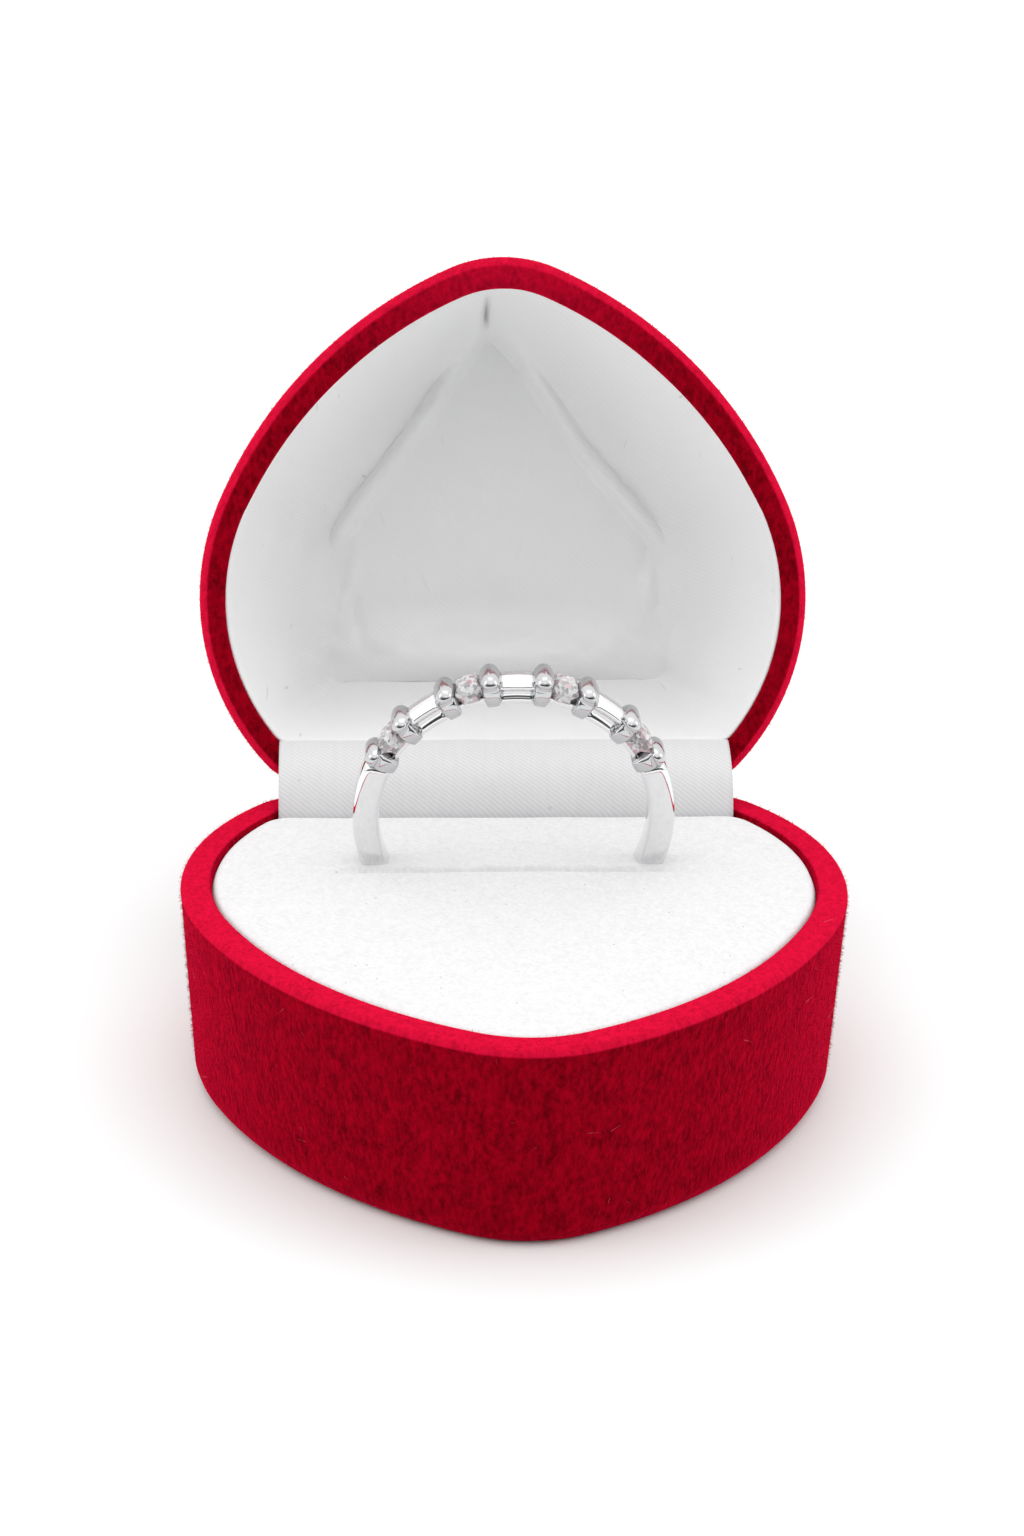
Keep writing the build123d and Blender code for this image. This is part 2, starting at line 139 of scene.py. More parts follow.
def makeLights():
    for name, lamp in lamps.items():
        data = bpy.data.lights.new(name, "AREA")
        data.shape = "RECTANGLE"
        data.size, data.size_y = lamp["size"]
        data.energy = lamp["power"]
        light = addObject(name, data)
        light.location = lamp["at"]
        aim = Vector(lamp["aim"]) - Vector(lamp["at"])
        light.rotation_euler = aim.to_track_quat("-Z", "Y").to_euler()
    world = bpy.data.worlds.new("studio")
    world.use_nodes = True
    tree = Tree(world.node_tree)
    way = tree.node("ShaderNodeTexCoord").outputs["Generated"]
    part = tree.node("ShaderNodeSeparateXYZ", {0: way}).outputs
    walls, roof, dim = ((room[label],) * 3 + (1,) for label in ("walls", "roof", "dim"))
    tent = tree.mix(tree.ramp(part["Z"], *room["roofFade"]), walls, roof)
    ahead = tree.ramp(tree.math("MULTIPLY", part["Y"], -1.0), *room["aheadFade"])
    low = tree.ramp(tree.math("MULTIPLY", part["Z"], -1.0), *room["lowFade"])
    colour = tree.mix(tree.math("MULTIPLY", ahead, low), tent, dim)
    back = world.node_tree.nodes["Background"]
    back.inputs["Strength"].default_value = room["strength"]
    tree.tree.links.new(colour, back.inputs["Color"])
    bpy.context.scene.world = world
    bpy.context.scene.view_settings.view_transform = "Standard"


floorLook = dict(half=3.0, colour=(0.94, 0.98, 0.98, 1), roughness=0.75, specular=0.15)


def makeFloor():
    half = floorLook["half"]
    corners = [(-half, -half, 0), (half, -half, 0), (half, half, 0), (-half, half, 0)]
    mesh = bpy.data.meshes.new("floor")
    mesh.from_pydata(corners, [], [(0, 1, 2, 3)])
    floor = addObject("floor", mesh)
    material = bpy.data.materials.new("paleFloor")
    material.use_nodes = True
    shader = material.node_tree.nodes["Principled BSDF"]
    shader.inputs["Base Color"].default_value = floorLook["colour"]
    shader.inputs["Roughness"].default_value = floorLook["roughness"]
    shader.inputs["Specular IOR Level"].default_value = floorLook["specular"]
    mesh.materials.append(material)


makeCamera()
makeLights()
makeFloor()
print("stage ready")


# shader groups, each built once and shared

def newGroup(name, inputs, outputs):
    group = bpy.data.node_groups.new(name, "ShaderNodeTree")
    for label, kind, value in inputs:
        socket = group.interface.new_socket(name=label, in_out="INPUT", socket_type=kind)
        if value is not None:
            socket.default_value = value
    for label in outputs:
        group.interface.new_socket(name=label, in_out="OUTPUT", socket_type="NodeSocketFloat")
    tree = Tree(group)
    return group, tree, tree.node("NodeGroupInput").outputs, tree.node("NodeGroupOutput").inputs


def buildNapGroup():
    inputs = (("Place", "NodeSocketVector", None), ("Pile", "NodeSocketFloat", 3000.0),
              ("Brush", "NodeSocketFloat", 420.0))
    group, tree, given, result = newGroup("shortNap", inputs, ("Mottle", "Patch", "Height"))
    values = {"Vector": given["Place"], "Rotation": (0.5, 0.3, 0.6), "Scale": (1.0, 1.0, 0.55)}
    combed = tree.node("ShaderNodeMapping", values).outputs[0]
    pile = tree.noise(combed, given["Pile"], 3.0, 0.7)
    clumps = tree.noise(combed, tree.math("MULTIPLY", given["Pile"], 0.5), 2.0, 0.6)
    patch = tree.noise(given["Place"], given["Brush"], 3.0, 0.55)
    both = tree.math("MULTIPLY_ADD", pile, 0.6, tree.math("MULTIPLY", clumps, 0.4))
    tree.tree.links.new(tree.ramp(both, 0.36, 0.64), result["Mottle"])
    tree.tree.links.new(tree.ramp(patch, 0.35, 0.65), result["Patch"])
    tree.tree.links.new(tree.math("MULTIPLY_ADD", clumps, 0.7, pile), result["Height"])
    return group


def buildTwillGroup():
    inputs = (("Place", "NodeSocketVector", None), ("Lines", "NodeSocketFloat", 1100.0))
    group, tree, given, result = newGroup("satinTwill", inputs, ("Line", "Slub"))
    turned = tree.node("ShaderNodeMapping", {"Vector": given["Place"], "Rotation": (0, 0, math.radians(-52))})
    values = {"Vector": turned.outputs[0], "Scale": given["Lines"],
              "Distortion": 2.2, "Detail": 3.0, "Detail Scale": 0.6}
    wave = tree.node("ShaderNodeTexWave", values)
    stretched = tree.node("ShaderNodeMapping", {"Vector": given["Place"], "Scale": (1, 0.12, 1)})
    slub = tree.noise(stretched.outputs[0], tree.math("MULTIPLY", given["Lines"], 2.2), 2.0)
    tree.tree.links.new(wave.outputs["Fac"], result["Line"])
    tree.tree.links.new(slub, result["Slub"])
    return group


def buildSpeckGroup():
    inputs = (("Place", "NodeSocketVector", None), ("Crowd", "NodeSocketFloat", 900.0),
              ("Size", "NodeSocketFloat", 0.10))
    group, tree, given, result = newGroup("lintSpecks", inputs, ("Speck",))
    cells = tree.node("ShaderNodeTexVoronoi", {"Vector": given["Place"], "Scale": given["Crowd"]})
    near = tree.math("LESS_THAN", cells.outputs["Distance"], given["Size"])
    pick = tree.node("ShaderNodeSeparateColor", {0: cells.outputs["Color"]})
    rare = tree.math("GREATER_THAN", pick.outputs[0], 0.86)
    tree.tree.links.new(tree.math("MULTIPLY", near, rare), result["Speck"])
    return group


napGroup, twillGroup, speckGroup = buildNapGroup(), buildTwillGroup(), buildSpeckGroup()


def newMaterial(name, fixed):
    material = bpy.data.materials.new(name)
    material.use_nodes = True
    tree = Tree(material.node_tree)
    shader = material.node_tree.nodes["Principled BSDF"]
    for key, value in fixed.items():
        shader.inputs[key].default_value = value
    return material, tree, shader


def placeGroup(tree, group, values):
    made = tree.tree.nodes.new("ShaderNodeGroup")
    made.node_tree = group
    for key, value in values.items():
        if isinstance(value, bpy.types.NodeSocket):
            tree.tree.links.new(value, made.inputs[key])
        else:
            made.inputs[key].default_value = value
    return made.outputs


def addSpecks(tree, place, colour, look):
    values = {"Place": place, "Crowd": look["crowd"], "Size": look["size"]}
    speck = placeGroup(tree, speckGroup, values)["Speck"]
    return tree.mix(tree.math("MULTIPLY", speck, look["share"]), colour, look["colour"])


def bump(tree, shader, height, strength, distance):
    made = tree.node("ShaderNodeBump", {"Height": height, "Strength": strength, "Distance": distance})
    tree.tree.links.new(made.outputs[0], shader.inputs["Normal"])


patchShare = 0.22
# how far the nap's mottle breaks up the painted rim highlight
unevenHighlight = 0.35


def velvetMaterial(name, dark, mid, light, sheen, pile=3000.0, brush=420.0, depth=0.14 * mm,
                   specks=None, rubbed=None):
    fixed = {"Roughness": 1.0, "Specular IOR Level": 0.02, "Sheen Weight": sheen[0],
             "Sheen Roughness": 0.4, "Sheen Tint": sheen[1]}
    material, tree, shader = newMaterial(name, fixed)
    place = tree.node("ShaderNodeTexCoord").outputs["Object"]
    nap = placeGroup(tree, napGroup, {"Place": place, "Pile": pile, "Brush": brush})
    colour = tree.mix(nap["Mottle"], dark, mid)
    colour = tree.mix(tree.math("MULTIPLY", nap["Patch"], patchShare), colour, light)
    # painted highlight: the rubbed mask lightens the rims that face the top light, standing in for that light
    # and the nap's sheen there
    if rubbed:
        mask = tree.node("ShaderNodeAttribute", attribute_name="rubbed").outputs["Fac"]
        wearAndHighlight = tree.math("MULTIPLY_ADD", nap["Mottle"], unevenHighlight, 1 - unevenHighlight)
        colour = tree.mix(tree.math("MULTIPLY", mask, wearAndHighlight), colour, rubbed)
    if specks:
        colour = addSpecks(tree, place, colour, specks)
    tree.tree.links.new(colour, shader.inputs["Base Color"])
    bump(tree, shader, nap["Height"], 0.9, depth)
    return material


satinSpecks = dict(crowd=620.0, size=0.07, share=0.4, colour=(0.52, 0.44, 0.44, 1))
satinPinchShade = (0.20, 0.18, 0.175, 1)  # painted shade in the crease of a pinched fold
satinShares = dict(line=0.55, slub=0.45)


def satinMaterial(name, shade, bright, lines, weave):
    fixed = {"Specular IOR Level": 0.5, "Sheen Weight": 0.1}
    material, tree, shader = newMaterial(name, fixed)
    place = tree.node("ShaderNodeUVMap", uv_map="cloth").outputs[0]
    twill = placeGroup(tree, twillGroup, {"Place": place, "Lines": lines})
    slub = tree.math("MULTIPLY", twill["Slub"], satinShares["slub"])
    both = tree.math("MULTIPLY_ADD", twill["Line"], satinShares["line"], slub)
    colour = tree.mix(both, shade, bright)
    colour = addSpecks(tree, place, colour, satinSpecks)
    # painted shade: the pinched mask darkens the satin along the pinched fold near the tip
    mask = tree.node("ShaderNodeAttribute", attribute_name="pinched").outputs["Fac"]
    colour = tree.mix(mask, colour, satinPinchShade)
    tree.tree.links.new(colour, shader.inputs["Base Color"])
    tree.tree.links.new(tree.ramp(twill["Slub"], -0.35, 1.9), shader.inputs["Roughness"])
    bump(tree, shader, both, weave, 0.03 * mm)
    return material


scratchScale = 1500.0


def metalMaterial(name, colour, roughness):
    material, tree, shader = newMaterial(name, {"Metallic": 1.0})
    place = tree.node("ShaderNodeTexCoord").outputs["Object"]
    wearAndHighlight = tree.noise(place, scratchScale, 3.0)
    darker = tuple(0.9 * c for c in colour[:3]) + (1,)
    tree.tree.links.new(tree.mix(wearAndHighlight, darker, colour), shader.inputs["Base Color"])
    values = {"Value": wearAndHighlight, "To Min": 0.7 * roughness, "To Max": 1.3 * roughness}
    spread = tree.node("ShaderNodeMapRange", values)
    tree.tree.links.new(spread.outputs[0], shader.inputs["Roughness"])
    return material


def grainMaterial(name, dark, light, roughness, scale, depth):
    material, tree, shader = newMaterial(name, {"Specular IOR Level": 0.3})
    place = tree.node("ShaderNodeTexCoord").outputs["Object"]
    grain = tree.noise(place, scale, 4.0)
    tree.tree.links.new(tree.mix(tree.ramp(grain, 0.35, 0.65), dark, light), shader.inputs["Base Color"])
    values = {"Value": grain, "To Min": 0.85 * roughness, "To Max": 1.1 * roughness}
    spread = tree.node("ShaderNodeMapRange", values)
    tree.tree.links.new(spread.outputs[0], shader.inputs["Roughness"])
    bump(tree, shader, grain, 0.5, depth)
    return material


# the stones' colour paints their light: dark and bright cells are painted facet reflections, pink cells a
# painted reflection of the red velvet
stoneLook = dict(facets=3400.0, dark=(0.30, 0.29, 0.30, 1), bright=(0.97, 0.97, 0.98, 1),
                 blush=(0.85, 0.42, 0.47, 1), blushFrom=0.80, blushShare=0.55)


def stoneMaterial():
    fixed = {"Roughness": 0.03, "IOR": 1.9, "Transmission Weight": 0.3,
             "Coat Weight": 0.6, "Coat Roughness": 0.02}
    material, tree, shader = newMaterial("clearStone", fixed)
    place = tree.node("ShaderNodeTexCoord").outputs["Object"]
    facets = tree.node("ShaderNodeTexVoronoi", {"Vector": place, "Scale": stoneLook["facets"]},
                       distance="MANHATTAN")
    part = tree.node("ShaderNodeSeparateColor", {0: facets.outputs["Color"]}).outputs
    look = stoneLook
    # painted reflections: facet cells from dark to bright, some tinted pink for the red velvet
    paintedSparkle = tree.mix(tree.ramp(part[0], 0.1, 0.75), look["dark"], look["bright"])
    blush = tree.math("GREATER_THAN", part[1], look["blushFrom"])
    colour = tree.mix(tree.math("MULTIPLY", blush, look["blushShare"]), paintedSparkle, look["blush"])
    tree.tree.links.new(colour, shader.inputs["Base Color"])
    bump(tree, shader, facets.outputs["Distance"], 0.5, 0.08 * mm)
    return material


# the rubbed colour is a painted highlight: a lighter red for the rims lit from above
crimsonNap = velvetMaterial("crimsonNap", dark=(0.12, 0.0, 0.003, 1), mid=(0.33, 0.0003, 0.009, 1),
                            light=(0.48, 0.0008, 0.015, 1), sheen=(1.0, (1.0, 0.004, 0.06, 1)),
                            rubbed=(0.76, 0.006, 0.045, 1))
padNap = velvetMaterial("padNap", dark=(0.745, 0.745, 0.755, 1), mid=(0.83, 0.83, 0.835, 1),
                        light=(0.86, 0.86, 0.86, 1), sheen=(0.25, (1, 1, 1, 1)),
                        pile=3600.0, brush=900.0, depth=0.06 * mm,
                        specks=dict(crowd=1500.0, size=0.085, share=1.0, colour=(0.50, 0.38, 0.39, 1)))
liningSatin = satinMaterial("liningSatin", (0.86, 0.86, 0.862, 1), (0.90, 0.90, 0.90, 1), 1430.0, 0.3)
stripSatin = satinMaterial("stripSatin", (0.66, 0.655, 0.67, 1), (0.80, 0.80, 0.805, 1), 1180.0, 0.5)
whiteGold = metalMaterial("whiteGold", (0.84, 0.84, 0.845, 1), 0.06)
barGold = metalMaterial("barGold", (0.60, 0.60, 0.61, 1), 0.12)  # the white gold with a darker colour, painted shade for the bars' dark reflections, and rougher than the polished band
hingeSteel = metalMaterial("hingeSteel", (0.62, 0.60, 0.57, 1), 0.32)
springSteel = metalMaterial("springSteel", (0.36, 0.37, 0.40, 1), 0.28)
tackSteel = metalMaterial("tackSteel", (0.70, 0.69, 0.67, 1), 0.22)
mouldedPlastic = grainMaterial("mouldedPlastic", (0.24, 0.01, 0.015, 1), (0.30, 0.015, 0.02, 1),
                               0.55, 900.0, 0.04 * mm)
greyCard = grainMaterial("greyCard", (0.60, 0.58, 0.54, 1), (0.72, 0.70, 0.66, 1), 0.9, 2500.0, 0.04 * mm)
openFoam = grainMaterial("openFoam", (0.72, 0.72, 0.68, 1), (0.88, 0.88, 0.85, 1), 0.95, 3000.0, 0.12 * mm)
bottomFlock = grainMaterial("bottomFlock", (0.22, 0.0, 0.008, 1), (0.40, 0.001, 0.015, 1),
                            0.95, 2600.0, 0.08 * mm)
lintFibre = grainMaterial("lintFibre", (0.62, 0.10, 0.17, 1), (0.86, 0.46, 0.52, 1), 0.8, 400.0, 0.01 * mm)
clearStone = stoneMaterial()
print("materials ready")


# the outline and how it becomes meshes

def onCircle(centre, radius, angle):
    turn = math.radians(angle)
    return centre[0] + radius * math.cos(turn), centre[1] + radius * math.sin(turn)


def heartRing(inset, backInset=None):
    half = heart["length"] / 2
    back = half - (inset if backInset is None else backInset)
    tipEnd = -90 + heart["tipSweep"]
    sideEnd = tipEnd + heart["sideSweep"]
    tipCentre = (0.0, heart["tipRadius"] - half)
    sideCentre = onCircle(tipCentre, heart["tipRadius"] - heart["sideRadius"], tipEnd)
    flatness = math.cos(math.radians(sideEnd))
    lobeRadius = (heart["width"] / 2 - sideCentre[0] - heart["sideRadius"] * flatness) / (1 - flatness)
    lobeCentre = onCircle(sideCentre, heart["sideRadius"] - lobeRadius, sideEnd)
    corner = max(heart["corner"] - inset, heart["leastCorner"])
    lobe = lobeRadius - inset
    rise = back - corner - lobeCentre[1]
    cornerCentre = (lobeCentre[0] + math.sqrt((lobe - corner) ** 2 - rise ** 2), back - corner)
    lobeEnd = math.degrees(math.acos((cornerCentre[0] - lobeCentre[0]) / (lobe - corner)))
    arcs = ((tipCentre, heart["tipRadius"] - inset, -90, tipEnd),
            (sideCentre, heart["sideRadius"] - inset, tipEnd, sideEnd),
            (lobeCentre, lobe, sideEnd, lobeEnd), (cornerCentre, corner, lobeEnd, 90))
    right = []
    for (centre, radius, start, end), count in zip(arcs, heart["samples"]):
        right += [onCircle(centre, radius, start + (end - start) * i / count) for i in range(count)]
    count = heart["samples"][-1]
    right += [(cornerCentre[0] * (1 - i / count), back) for i in range(count)]
    left = [(-x, y) for x, y in reversed(right[1:])]
    return right + [(0.0, back)] + left


def newPiece(name, points, faces, material, smooth=True, uv=None, masks=None):
    mesh = bpy.data.meshes.new(name)
    mesh.from_pydata([tuple(p) for p in points], [], faces)
    mesh.materials.append(material)
    if uv is not None:
        layer = mesh.uv_layers.new(name="cloth")
        corners = np.zeros(len(mesh.loops), np.int32)
        mesh.loops.foreach_get("vertex_index", corners)
        layer.data.foreach_set("uv", np.asarray(uv, np.float32)[corners].ravel())
    for label, values in (masks or {}).items():
        mesh.attributes.new(label, "FLOAT", "POINT").data.foreach_set("value", np.asarray(values, np.float32))
    mesh.polygons.foreach_set("use_smooth", [smooth] * len(mesh.polygons))
    mesh.update()
    return addObject(name, mesh)


def recalculate(piece):
    work = bmesh.new()
    work.from_mesh(piece.data)
    bmesh.ops.recalc_face_normals(work, faces=work.faces)
    work.to_mesh(piece.data)
    work.free()


def bakeModifiers(piece):
    bpy.context.view_layer.update()
    depsgraph = bpy.context.evaluated_depsgraph_get()
    baked = bpy.data.meshes.new_from_object(piece.evaluated_get(depsgraph))
    piece.modifiers.clear()
    old = piece.data
    piece.data = baked
    bpy.data.meshes.remove(old)


def thicken(piece, thickness, offset):
    layer = piece.modifiers.new("thickness", "SOLIDIFY")
    layer.thickness, layer.offset = thickness, offset
    bakeModifiers(piece)


def loftFaces(rings, count, closeLoop=False):
    faces = []
    steps = rings if closeLoop else rings - 1
    for k in range(steps):
        a, b = k * count, ((k + 1) % rings) * count
        faces += [(a + i, a + (i + 1) % count, b + (i + 1) % count, b + i) for i in range(count)]
    return faces


def fanFaces(ringStart, count, centre):
    return [(ringStart + i, ringStart + (i + 1) % count, centre) for i in range(count)]


def swingOpen(points):
    points = np.asarray(points, float)
    y, z = points[:, 1] - axisY, points[:, 2] - axisZ
    c, s = math.cos(openAngle), math.sin(openAngle)
    return np.stack([points[:, 0], axisY + y * c + z * s, axisZ - y * s + z * c], 1)


def arcPoints(centre, radius, start, end, steps):
    return [onCircle(centre, radius, start + (end - start) * i / steps) for i in range(steps + 1)]


# the slot in both skins that the hinge's knuckles lie in
hingeSlot = dict(half=12.5 * mm, deep=2.6 * mm, inward=1.5 * mm, over=1.0 * mm)


def cutBack(piece, low, high, swing=False):
    s = hingeSlot
    back = heart["length"] / 2
    depths = (back - rearWall - s["inward"], back + s["over"])
    corners = [(x, y, z) for x in (-s["half"], s["half"]) for y in depths for z in (low, high)]
    faces = [(0, 1, 3, 2), (4, 6, 7, 5), (0, 4, 5, 1), (2, 3, 7, 6), (0, 2, 6, 4), (1, 5, 7, 3)]
    places = swingOpen(corners) if swing else corners
    cutter = newPiece("hingeSlotCutter", places, faces, mouldedPlastic, smooth=False)
    recalculate(cutter)
    cut = piece.modifiers.new("hingeSlot", "BOOLEAN")
    cut.operation, cut.solver, cut.object = "DIFFERENCE", "EXACT", cutter
    bakeModifiers(piece)
    bpy.data.objects.remove(cutter)


# the flocked base
# rubbedRings: the profile rings across the rim top that carry the painted highlight
baseSkin = dict(rim=2.1 * mm, draft=3.2, edge=1.2 * mm, rimRound=0.55 * mm, innerRound=0.45 * mm,
                tuck=3.0 * mm, thick=0.28 * mm, taper=0.1 * mm, wallRings=24, rubbedRings=(4, 13))


def makeBaseSkin():
    s = baseSkin
    slope = math.tan(math.radians(s["draft"]))
    low = baseTop * slope
    outer = [(s["rim"], baseTop - s["tuck"])]
    outer += arcPoints((s["rim"] - s["innerRound"], baseTop - s["innerRound"]), s["innerRound"], 0, 90, 5)
    outer += arcPoints((s["rimRound"], baseTop - s["rimRound"]), s["rimRound"], 90, 180, 6)
    wallTop, wallLow = baseTop - s["rimRound"], s["edge"]
    outer += [((baseTop - z) * slope, z) for z in np.linspace(wallTop, wallLow, s["wallRings"])[1:]]
    outer += arcPoints((low + s["edge"], s["edge"]), s["edge"], 180, 270, 8)[1:]
    inner = [(low + s["edge"], s["thick"]), (low + s["thick"], s["edge"]),
             (s["thick"] + s["taper"], baseTop - s["rimRound"]), (s["rimRound"], baseTop - s["thick"]),
             (s["rim"] - s["innerRound"], baseTop - s["thick"]),
             (s["rim"] - s["thick"], baseTop - s["innerRound"]),
             (s["rim"] - s["thick"], baseTop - s["tuck"])]
    profile = outer + inner
    # the rim top's rings get the painted highlight mask
    points, rubbed = [], []
    for place, (inset, z) in enumerate(profile):
        ring = heartRing(inset)
        points += [(x, y, z) for x, y in ring]
        rubbed += [1.0 if s["rubbedRings"][0] <= place < s["rubbedRings"][1] else 0.0] * len(ring)
    faces = loftFaces(len(profile), len(ring), closeLoop=True)
    piece = newPiece("baseVelvet", points, faces, crimsonNap, masks=dict(rubbed=rubbed))
    recalculate(piece)
    cutBack(piece, baseTop - hingeSlot["deep"], baseTop + hingeSlot["over"])
    finishPiece(piece, "base", "red_flock", "base_velvet_skin")
    return piece


def finishPiece(piece, body, slotName, *nodes):
    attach(piece, body)
    if nodes:
        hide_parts(*nodes)


# the flocked lid, drawn shut and swung open
# rubbedRings, tipRubbed and tipReach place the painted highlight on the rim's outer band and near the tip
lidSkin = dict(step=0.7 * mm, rim=1.85 * mm, height=19.0 * mm, draft=1.6, crown=150 * mm, edge=2.2 * mm,
               innerRound=0.4 * mm, outerRound=0.95 * mm, lip=1.2 * mm, wallSteps=14, arcSteps=8,
               tipGrowth=0.4 * mm, growFrom=8 * mm, growOver=20 * mm,
               thick=0.28 * mm, shrink=(0.93, 0.8, 0.62, 0.42, 0.2), rubbedRings=(9, 17),
               tipRubbed=0.42, tipReach=8.0 * mm)


def crownHeight(x, y, height):
    return lidPlane + height - (x * x + y * y) / (2 * lidSkin["crown"])


def makeLidSkin():
    s = lidSkin
    slope = math.tan(math.radians(s["draft"]))
    innerEdge = s["step"] + s["rim"]
    inner, outer = s["innerRound"], s["outerRound"]
    rings = []

    def rimRing(reach, z):  # reach is measured inwards from the lid's edge, and grows towards the tip
        ring = []
        for (ax, ay), (bx, by) in zip(heartRing(s["step"]), heartRing(innerEdge)):
            toTip = min(1.0, max(0.0, (s["growFrom"] - ay) / s["growOver"]))
            share = reach / s["rim"] * (1 + s["tipGrowth"] * toTip / s["rim"])
            ring.append((ax + (bx - ax) * share, ay + (by - ay) * share, lidPlane + z))
        rings.append(ring)

    rimRing(s["rim"], s["lip"])
    for reach, z in arcPoints((s["rim"] - inner, inner), inner, 0, -90, 4):
        rimRing(reach, z)
    for reach, z in arcPoints((outer, outer), outer, 270, 180, 9)[:-1]:
        rimRing(reach, z)
    wallSteps, arcSteps = s["wallSteps"], s["arcSteps"]
    for k in range(wallSteps + arcSteps + 1):
        ring = []
        up = min(k / wallSteps, 1.0)
        turn = math.radians(max(k - wallSteps, 0) * 90 / arcSteps)
        base = s["step"] + slope * (s["height"] - s["edge"])
        inset = s["step"] + (base - s["step"]) * up + s["edge"] * (1 - math.cos(turn))
        for x, y in heartRing(inset):
            top = crownHeight(x, y, s["height"]) - s["edge"]
            low = lidPlane + outer
            z = low + (top - low) * up + s["edge"] * math.sin(turn)
            ring.append((x, y, z))
        rings.append(ring)
    last = rings[-1]
    for share in s["shrink"]:
        ring = [(x * share, y * share) for x, y, z in last]
        rings.append([(x, y, crownHeight(x, y, s["height"])) for x, y in ring])
    # painted highlight: full on the rim's outer band, weaker on the rim near the tip
    rubbed = []
    for place, ring in enumerate(rings):
        for x, y, z in ring:
            atTip = s["tipRubbed"] * math.exp(-(x / s["tipReach"]) ** 2) if y < 0 else 0.0
            highlit = 1.0 if place >= s["rubbedRings"][0] else atTip
            rubbed.append(highlit if place < s["rubbedRings"][1] else 0.0)
    rubbed.append(0.0)
    count = len(last)
    faces = loftFaces(len(rings), count)
    points = [p for ring in rings for p in ring] + [(0, 0, lidPlane + s["height"])]
    faces += fanFaces((len(rings) - 1) * count, count, len(points) - 1)
    piece = newPiece("lidVelvet", swingOpen(points), faces, crimsonNap, masks=dict(rubbed=rubbed))
    recalculate(piece)
    thicken(piece, s["thick"], -1.0)
    cutBack(piece, lidPlane - hingeSlot["over"], lidPlane + hingeSlot["deep"], swing=True)
    finishPiece(piece, "lid", "red_flock", "lid_velvet_skin")
    return piece


baseVelvet = makeBaseSkin()
lidVelvet = makeLidSkin()
print("flocked shells ready")


# the pad
pad = dict(gap=0.04 * mm, top=13.95 * mm, low=2.6 * mm, edge=0.5 * mm, crown=0.35 * mm, rings=110,
           slitY=25.6 * mm, slitHalf=12.6 * mm, slitWidth=0.22 * mm, slitDepth=0.8 * mm,
           lip=1.5 * mm, lipRise=0.12 * mm, lipPlace=0.9 * mm, soft=0.06 * mm, softScale=220,
           middleY=-1.0 * mm)


def padHeight(x, y):
    slit = y + heart["length"] / 2 - pad["slitY"]
    inside = max(0.0, 1 - (abs(x) / pad["slitHalf"]) ** 6)
    dip = pad["slitDepth"] * math.exp(-(slit / pad["slitWidth"]) ** 2) * inside
    lip = pad["lipRise"] * math.exp(-((abs(slit) - pad["lipPlace"]) / pad["lip"]) ** 2) * inside
    soft = pad["soft"] * noise.noise(Vector((x, y, 0)) * pad["softScale"])
    return lip - dip + soft


def makePad():
    inset = baseSkin["rim"] + pad["gap"]
    edge = heartRing(inset, rearWall + padBackGap)
    count = len(edge)
    points, rings = [], 0
    for z in np.linspace(pad["low"], pad["top"] - pad["edge"], 5):
        points += [(x, y, z) for x, y in edge]
        rings += 1
    centreY = pad["middleY"]
    for k in range(1, pad["rings"]):
        share = 1 - k / pad["rings"]
        for x, y in edge:
            px, py = x * share, centreY + (y - centreY) * share
            reach = math.hypot(x - px, y - py)
            rounding = max(0.0, 1 - reach / pad["edge"])
            drop = pad["edge"] * (1 - math.sqrt(max(0.0, 1 - rounding ** 2)))
            crown = pad["crown"] * (1 - share ** 4)
            points.append((px, py, pad["top"] - drop + crown + padHeight(px, py) * (1 - rounding)))
        rings += 1
    faces = loftFaces(rings, count)
    points.append((0, centreY, pad["top"] + pad["crown"] + padHeight(0, centreY)))
    faces += fanFaces((rings - 1) * count, count, len(points) - 1)
    faces.append(tuple(reversed(range(count))))
    piece = newPiece("padCushion", points, faces, padNap)
    recalculate(piece)
    finishPiece(piece, "base", "white_velvet", "pad_velvet_cover")


makePad()
print("pad ready")


# the satin lining of the lid, drawn over places (x, s) where s runs from the hinge to the tip
lining = dict(depth=14.0 * mm, deepest=14.7 * mm, low=0.3 * mm, rings=110, wallShare=0.42,
              middle=14.0 * mm, thick=0.18 * mm, gap=0.02 * mm, wallBow=0.6, reliefFrom=0.05, pull=0.35,
              hem=dict(height=0.22 * mm, place=0.02, width=0.012), mostShare=0.94,
              ceiling=((-0.4, 33.4), (7.2, 25.2), (12.9, 18.6), (13.6, 11.5), (12.9, 7.4), (-12.5, 7.2),
                       (-13.0, 11.5), (-12.4, 19.0), (-7.6, 25.6)),
              head=dict(place=13.2, along=2.4, across=7.5),  # room for the ring's head when shut
              # where the painted shade of the pinched fold lies: start, end and width
              pinch=((-1.0, 35.6), (-0.85, 34.3), 0.24))


def crease(x, s, start, end, width):
    ax, ay = start
    bx, by = end
    dx, dy = bx - ax, by - ay
    along = ((x - ax) * dx + (s - ay) * dy) / (dx * dx + dy * dy)
    t = min(1.0, max(0.0, along))
    gap = math.hypot(x - ax - t * dx, s - ay - t * dy)
    fade = 0.35 + 0.65 * math.sin(math.pi * min(1.0, max(0.02, t)))
    return math.exp(-(gap / width) ** 2) * fade


